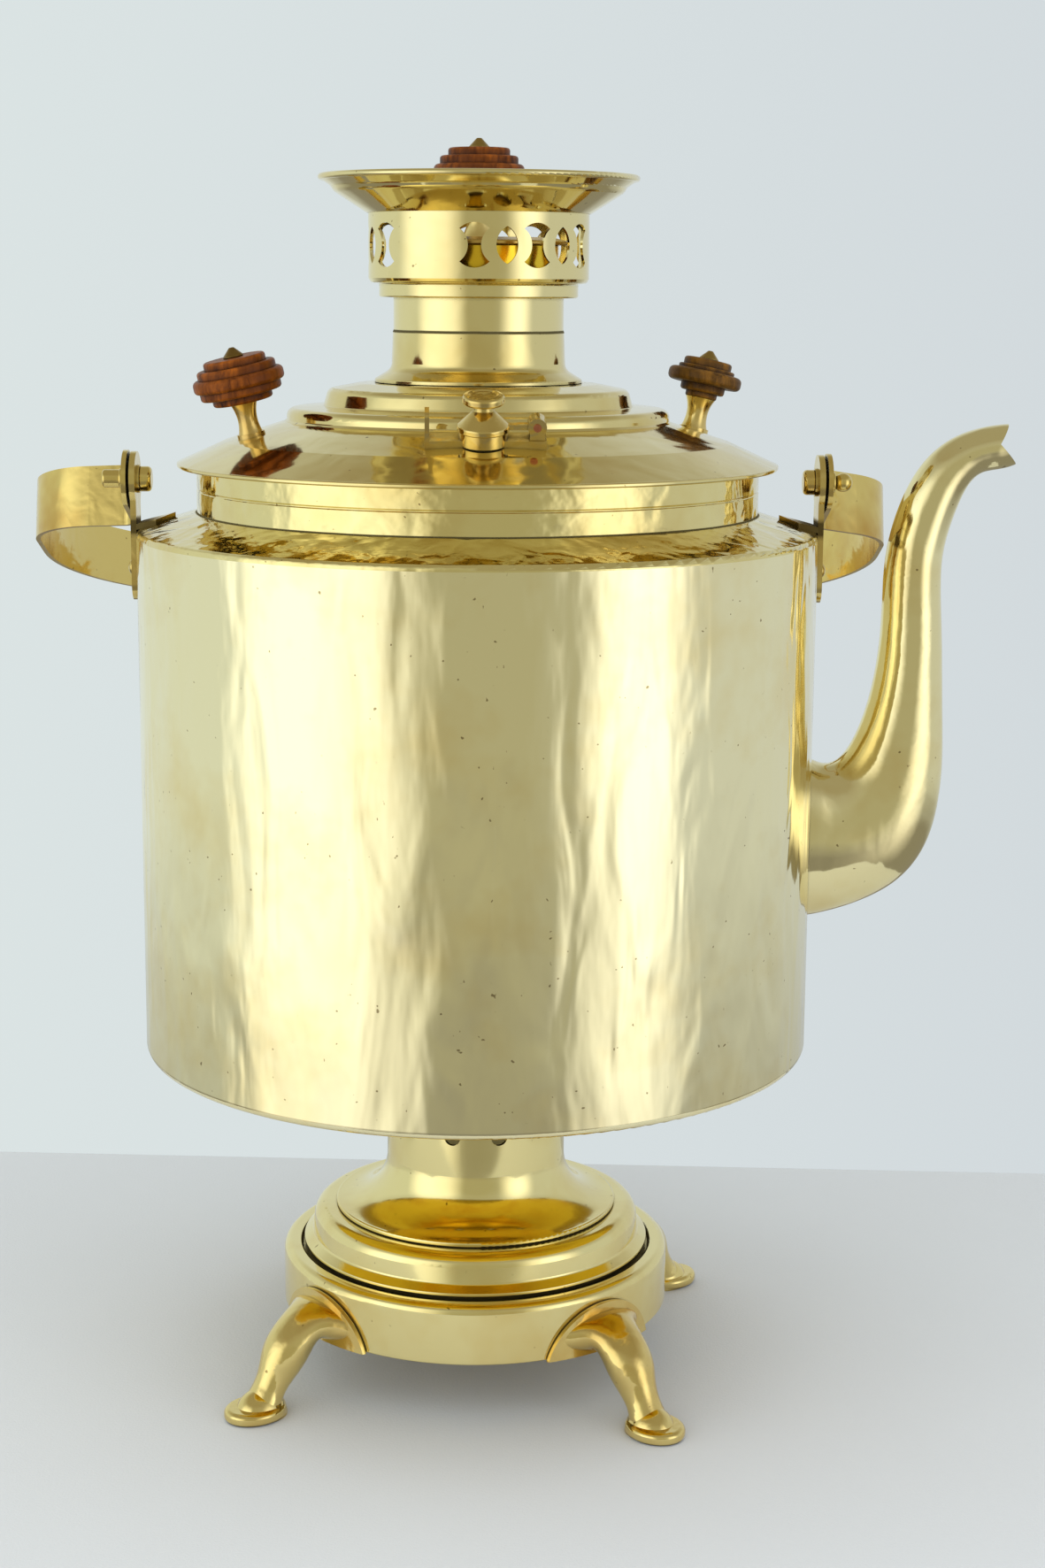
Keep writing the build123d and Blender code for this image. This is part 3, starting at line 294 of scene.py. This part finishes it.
# ---- Spout ----
# A swan neck of two brass stampings, brazed along their middle, buffed smooth and soldered
# to the body's side.
dress(polished_brass("buffed_brass", pale="F2E4AE", warm="D8B45E", wave=0.016, depth=0.0006,
                     stretch=(1, 1, 0.5), stain=0.5, tarnish_and_shade_reach=0.003, gloss=0.06),
      "spout")


# ---- Brackets, bolts and handle ----
# A bent brass strap swings on two turned bolts, held by forged brackets that are riveted and
# soldered to the body. Hands keep them bright, but dirt stays along the solder, and painted shade, standing
# for tarnish too, darkens the creases round the bolts and brackets.
dress(polished_brass("forged_brass", pale="E2C878", warm="C09040", wave=0.010, depth=0.0004, ripple=0.00003,
                     stain=0.9, tarnish_and_shade_reach=0.003, gloss=0.12),
      "pivot_bolts", "pivot_nuts", "pivot_washers", "pivot_spacers", "swing_handle")
dress(polished_brass("soldered_brass", pale="DEC67C", warm="B88C40", wave=0.010, depth=0.0004, stain=0.8,
                     tarnish_and_shade_reach=0.003, gloss=0.12, seams=((0.334, 0.0045),)),
      "bracket_right", "bracket_left", "bracket_rivets")


# ---- Lid ----
# Brass sheet spun on a lathe into a stepped cone, with a collar soldered on and a skirt below
# that centres it in the neck. Its polish is soft, with painted shade and dark tarnish in the steps.
dress(polished_brass("spun_brass", pale="E8D696", warm="CEAA50", wave=0.022, depth=0.0005,
                     ripple=0.00002, stain=0.5, tarnish_and_shade_reach=0.004, gloss=0.06, seams=((0.4082, 0.0007),)),
      "lid", "lid_skirt", "lid_collar")


# ---- Lid knobs ----
# Lathe-turned hardwood heads under red-brown varnish, on waisted brass stems, each held by a
# rod that is riveted over in a small dull cone.
def varnished_wood(name, light, dark, varnish):
    """Turned hardwood: dark streaks of grain 2.6 mm wide under an oily varnish that is thicker in
    patches of 11 mm, with shade painted dark into the grooves and undersides."""
    material, place = new_material(name)
    streaks_per_metre, patches_per_metre, shade_reach = 380.0, 90.0, 0.006
    along = add(material, "Mapping", {"Vector": place, "Scale": (1, 1, 0.25)})
    grain = add(material, "TexNoise", {"Vector": along.outputs[0], "Scale": streaks_per_metre, "Detail": 4.0,
                                       "Roughness": 0.6, "Distortion": 0.4})
    streak = add(material, "MapRange", {"Value": grain.outputs[0], "From Min": 0.36, "From Max": 0.72})
    tone = add(material, "Mix", {0: streak.outputs[0], 6: srgb(light), 7: srgb(dark)}, data_type="RGBA")
    cloud = add(material, "TexNoise", {"Vector": place, "Scale": patches_per_metre, "Detail": 2.0})
    thick = add(material, "MapRange", {"Value": cloud.outputs[0], "From Min": 0.45, "From Max": 0.65,
                                       "To Max": 0.7})
    coated = add(material, "Mix", {0: thick.outputs[0], 6: tone.outputs[2], 7: srgb(varnish)},
                 data_type="RGBA")
    # Painted shade: ambient occlusion darkens the grooves and undersides of the heads towards near black.
    painted_groove_shade = add(material, "AmbientOcclusion", {"Distance": shade_reach}, samples=6)
    shade = add(material, "MapRange", {"Value": painted_groove_shade.outputs["AO"], "From Min": 0.90, "From Max": 0.45,
                                       "To Max": 0.9})
    colour = add(material, "Mix", {0: shade.outputs[0], 6: coated.outputs[2], 7: srgb("1E0B03")},
                 data_type="RGBA")
    bump = add(material, "Bump", {"Height": grain.outputs[0], "Strength": 0.5, "Distance": 0.0003})
    shader = add(material, "BsdfPrincipled", {
        "Base Color": colour.outputs[2], "Roughness": 0.45, "Normal": bump.outputs[0],
        "Specular IOR Level": 0.1, "Coat Weight": 0.07, "Coat Roughness": 0.15,
    })
    return finish_with(material, shader)


dress(varnished_wood("red_varnished_wood", light="8C480A", dark="361504", varnish="562804"),
      "knob_head_left", "cap_head")
dress(varnished_wood("brown_varnished_wood", light="7C5216", dark="2C1B08", varnish="462E0E"),
      "knob_head_right")
dress(polished_brass("turned_stem_brass", pale="E6CC84", warm="BE9244", wave=0.006, depth=0.0002, stain=0.9,
                     tarnish_and_shade_reach=0.002, gloss=0.14),
      "knob_stem_left", "knob_stem_right", "cap_stem")
dress(polished_brass("dull_riveted_brass", pale="A08448", warm="6E5228", wave=0.003, depth=0.0002, stain=0.9,
                     tarnish_and_shade_reach=0.002, gloss=0.34),
      "knob_rod_left", "knob_rod_right", "cap_rod")


# ---- Steam vent ----
# A small brass casting on the lid, with a hinged conical cap and a bare copper hinge pin. Its
# corners are darkened with painted shade that also stands for tarnish left by steam.
dress(polished_brass("vent_brass", pale="DEC47A", warm="A67C30", wave=0.006, depth=0.0003, stain=0.9,
                     tarnish_and_shade_reach=0.005, gloss=0.10),
      "vent_seat", "vent_cap")


def bare_copper():
    """Copper rod: pink metal dulled in patches of 1.4 mm by heat and handling."""
    material, place = new_material("bare_copper")
    patches_per_metre = 700.0
    patches = add(material, "TexNoise", {"Vector": place, "Scale": patches_per_metre, "Detail": 3.0})
    tone = add(material, "Mix", {0: patches.outputs[0], 6: srgb("E59A78"), 7: srgb("A85F43")},
               data_type="RGBA")
    shader = add(material, "BsdfPrincipled", {
        "Base Color": tone.outputs[2], "Metallic": 1.0, "Roughness": 0.35,
    })
    return finish_with(material, shader)


dress(bare_copper(), "vent_pin")


# ---- Crown ----
# A sleeve, a stepped ring and a pierced drum under a wide saucer, all spun from sheet brass and
# polished smoother than the body. It stands loose on the lid's collar.
dress(polished_brass("crown_brass", pale="EEDEA2", warm="D4B25A", wave=0.024, depth=0.0003, stain=0.4,
                     tarnish_and_shade_reach=0.003, gloss=0.05, seams=((0.4082, 0.0007),)),
      "crown_sleeve", "crown_ring", "crown_gallery", "crown_saucer")


# ---- Chimney cap ----
# A pressed brass disc with a skirt, which closes the fire tube and is browned by smoke. Its
# stem, knob and rod are made like those on the lid.
dress(polished_brass("smoked_brass", pale="CDAA5C", warm="8A6A34", wave=0.02, depth=0.0003, stain=0.9,
                     tarnish_and_shade_reach=0.003, gloss=0.22),
      "chimney_cap")
